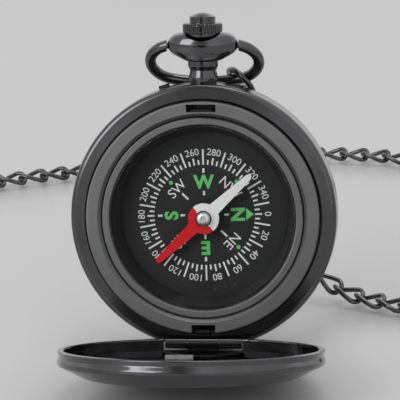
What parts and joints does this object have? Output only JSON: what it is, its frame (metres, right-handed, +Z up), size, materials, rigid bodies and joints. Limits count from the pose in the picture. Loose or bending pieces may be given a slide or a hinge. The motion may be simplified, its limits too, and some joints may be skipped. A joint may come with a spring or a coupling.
{
  "type": "pocket compass",
  "caption": "Pocket compass in a round polished case with a hinged lid that stands open, a crown that frees the lid, a dial with a free needle, a swinging bow and a curb chain with a clasp.",
  "frame": {"origin": "on the floor under the middle of the open compass, without its chain", "axes": "+Z up, the lid opens towards -Y, +X to the right of the dial"},
  "size_m": [0.1229, 0.1591, 0.0587],
  "materials": {
    "case_metal": "polished black nickel",
    "chain_metal": "bright gunmetal",
    "steel": "bright",
    "capsule_plastic": "matte",
    "dial": "matte, printed",
    "glass": "clear",
    "gasket": "matte",
    "needle_paint": "satin",
    "needle_dome": "polished"
  },
  "bodies": {
    "case": {"case_band": "case_metal", "rear_cover": "case_metal", "bezel_ring": "case_metal", "capsule_cup": "capsule_plastic", "capsule_rim_ring": "case_metal", "crystal": "glass", "crystal_gasket": "gasket", "dial_card": "dial", "pivot_post": "steel", "capsule_holder": "capsule_plastic", "hinge_pin": "steel", "spring_screws": "steel", "lock_spring": "steel", "lift_spring": "steel", "pendant_neck": "case_metal", "pendant_head": "case_metal", "chain_drop": "chain_metal", "chain_right": "chain_metal", "chain_far": "chain_metal", "clasp_body": "chain_metal", "clasp_pin": "steel"},
    "lid": {"lid_shell": "case_metal", "lid_catch": "steel"},
    "crown": {"crown": "case_metal", "crown_cap": "case_metal", "stem": "steel"},
    "latch": {"latch_catch": "steel"},
    "bow": {"bow": "case_metal", "jump_ring": "chain_metal"},
    "needle": {"needle": "needle_paint", "needle_cap": "needle_dome"},
    "clasp_gate": {"clasp_gate": "chain_metal"}
  },
  "joints": [
    {"name": "lid_hinge", "type": "hinge", "parent": "case", "child": "lid", "pos_m": [0, 0.01021, 0.00262], "axis": [1, 0, 0], "range_deg": [-85, 0], "stiffness_Nm_per_rad": 0.0008, "springref_deg": 11.46},
    {"name": "crown_press", "type": "slide", "parent": "case", "child": "crown", "axis": [0, -0.1926, -0.9813], "range_m": [0, 0.0005], "stiffness_N_per_m": 500, "deforming": ["lock_spring"]},
    {"name": "latch_slide", "type": "slide", "parent": "case", "child": "latch", "axis": [0, -0.1926, -0.9813], "range_m": [0, 0.0005]},
    {"name": "bow_swing", "type": "hinge", "parent": "case", "child": "bow", "pos_m": [0, 0.02512, 0.05289], "axis": [1, 0, 0], "range_deg": [0, 240], "deforming": ["chain_drop"]},
    {"name": "needle_spin", "type": "hinge", "parent": "case", "child": "needle", "pos_m": [0, 0.01716, 0.02348], "axis": [0, -0.9813, 0.1926], "continuous": true},
    {"name": "clasp_gate_swing", "type": "hinge", "parent": "case", "child": "clasp_gate", "pos_m": [-0.06536, 0.09075, 0.00105], "axis": [-0.0502, -0.0879, 0.9949], "range_deg": [0, 30], "stiffness_Nm_per_rad": 0.0005}
  ],
  "couplings": [
    {"joint": "latch_slide", "follows": "crown_press", "ratio": 1}
  ]
}
